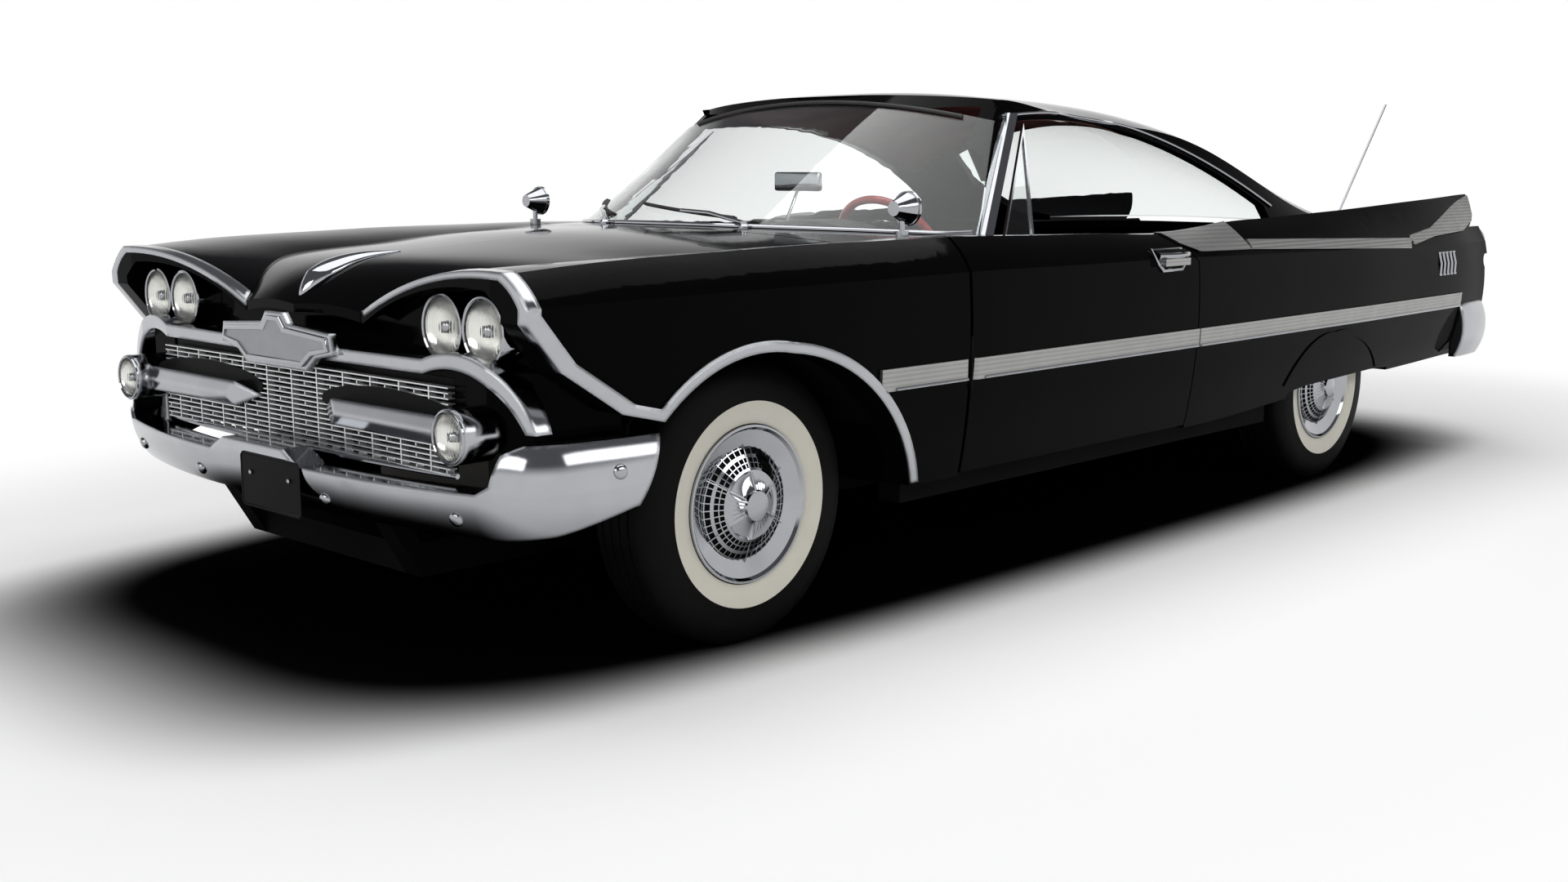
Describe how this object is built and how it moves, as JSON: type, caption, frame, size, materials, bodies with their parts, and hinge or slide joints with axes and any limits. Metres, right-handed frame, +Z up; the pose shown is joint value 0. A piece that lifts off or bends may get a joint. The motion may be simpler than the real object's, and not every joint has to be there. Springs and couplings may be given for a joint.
{
  "type": "classic hardtop car",
  "caption": "Two-door hardtop car of the late 1950s with tail fins, quad headlamps under bright brows, wrap-round windscreen, opening doors, hood and boot lid.",
  "frame": {"origin": "on the floor under the middle of the car", "axes": "+Z up, the nose towards -Y, the driver's left side towards +X"},
  "size_m": [2.072, 5.362, 1.4205],
  "materials": {
    "paint": "gloss",
    "chrome": "polished",
    "silver": "satin",
    "glass": "clear",
    "lens_clear": "fluted",
    "lens_red": "gloss",
    "tyre": "satin, with a wide white wall",
    "underbody": "matte",
    "iron": "matte",
    "red_leather": "satin",
    "red_plastic": "gloss"
  },
  "bodies": {
    "body": {"front_fenders": "paint", "cowl_panel": "paint", "quarter_panels": "paint", "skirt_lips": "paint", "tail_panel": "paint", "nose_panel": "paint", "roof_panel": "paint", "brow_mouldings": "chrome", "windscreen_frame": "chrome", "grille_surround": "chrome", "headlamp_bezels": "chrome", "tail_lamp_tubes": "chrome", "front_bumper": "chrome", "rear_bumper": "chrome", "wipers": "chrome", "fender_mirrors": "chrome", "antennas": "chrome", "body_mouldings": "silver", "grille": "silver", "rear_window": "glass", "windscreen": "glass", "lamp_lenses": "lens_clear", "tail_lamp_lenses": "lens_red", "frame_rails": "underbody", "floor_pan": "underbody", "wheelhouses": "underbody", "front_suspension": "underbody", "rear_axle": "underbody", "exhaust": "underbody", "fuel_tank": "underbody", "engine_and_driveline": "iron", "front_seat": "red_leather", "rear_seat": "red_leather", "steering_column": "red_plastic", "dashboard": "red_plastic"},
    "hood": {"hood": "paint", "hood_ornament": "chrome"},
    "boot_lid": {"boot_lid": "paint"},
    "door_left": {"door_left": "paint", "vent_frame_left": "chrome", "vent_pane_left": "glass", "door_trim_left": "silver"},
    "door_right": {"door_right": "paint", "vent_frame_right": "chrome", "vent_pane_right": "glass", "door_trim_right": "silver"},
    "knuckle_left": {"knuckle_left": "underbody"},
    "knuckle_right": {"knuckle_right": "underbody"},
    "steering_wheel": {"steering_wheel": "red_plastic"},
    "wheel_front_left": {"tyre_front_left": "tyre", "wheel_front_left": "chrome"},
    "wheel_front_right": {"tyre_front_right": "tyre", "wheel_front_right": "chrome"},
    "wheel_rear_left": {"tyre_rear_left": "tyre", "wheel_rear_left": "chrome"},
    "wheel_rear_right": {"tyre_rear_right": "tyre", "wheel_rear_right": "chrome"}
  },
  "joints": [
    {"name": "steer_left", "type": "hinge", "parent": "body", "child": "knuckle_left", "pos_m": [0.69, -1.829, 0.355], "axis": [0, 0, 1], "range_deg": [-30, 30]},
    {"name": "steer_right", "type": "hinge", "parent": "body", "child": "knuckle_right", "pos_m": [-0.69, -1.829, 0.355], "axis": [0, 0, 1], "range_deg": [-30, 30]},
    {"name": "steering_wheel_turn", "type": "hinge", "parent": "body", "child": "steering_wheel", "pos_m": [0.37, -0.699, 0.905], "axis": [0, 0.866, 0.5], "range_deg": [-540, 540]},
    {"name": "door_left_hinge", "type": "hinge", "parent": "body", "child": "door_left", "pos_m": [1.007, -1.132, 0.6], "axis": [0, 0, -1], "range_deg": [0, 65]},
    {"name": "door_right_hinge", "type": "hinge", "parent": "body", "child": "door_right", "pos_m": [-1.007, -1.132, 0.6], "axis": [0, 0, 1], "range_deg": [0, 65]},
    {"name": "hood_hinge", "type": "hinge", "parent": "body", "child": "hood", "pos_m": [0, -1.376, 1], "axis": [-1, 0, 0], "range_deg": [0, 50]},
    {"name": "boot_lid_hinge", "type": "hinge", "parent": "body", "child": "boot_lid", "pos_m": [0, 1.608, 0.9465], "axis": [1, 0, 0], "range_deg": [0, 60]},
    {"name": "wheel_front_left_spin", "type": "hinge", "parent": "knuckle_left", "child": "wheel_front_left", "pos_m": [0.7735, -1.829, 0.355], "axis": [1, 0, 0], "continuous": true},
    {"name": "wheel_front_right_spin", "type": "hinge", "parent": "knuckle_right", "child": "wheel_front_right", "pos_m": [-0.7735, -1.829, 0.355], "axis": [1, 0, 0], "continuous": true},
    {"name": "wheel_rear_left_spin", "type": "hinge", "parent": "body", "child": "wheel_rear_left", "pos_m": [0.7595, 1.271, 0.355], "axis": [1, 0, 0], "continuous": true},
    {"name": "wheel_rear_right_spin", "type": "hinge", "parent": "body", "child": "wheel_rear_right", "pos_m": [-0.7595, 1.271, 0.355], "axis": [1, 0, 0], "continuous": true}
  ],
  "couplings": [
    {"joint": "steer_right", "follows": "steer_left", "ratio": 1},
    {"joint": "steering_wheel_turn", "follows": "steer_left", "ratio": 18}
  ]
}
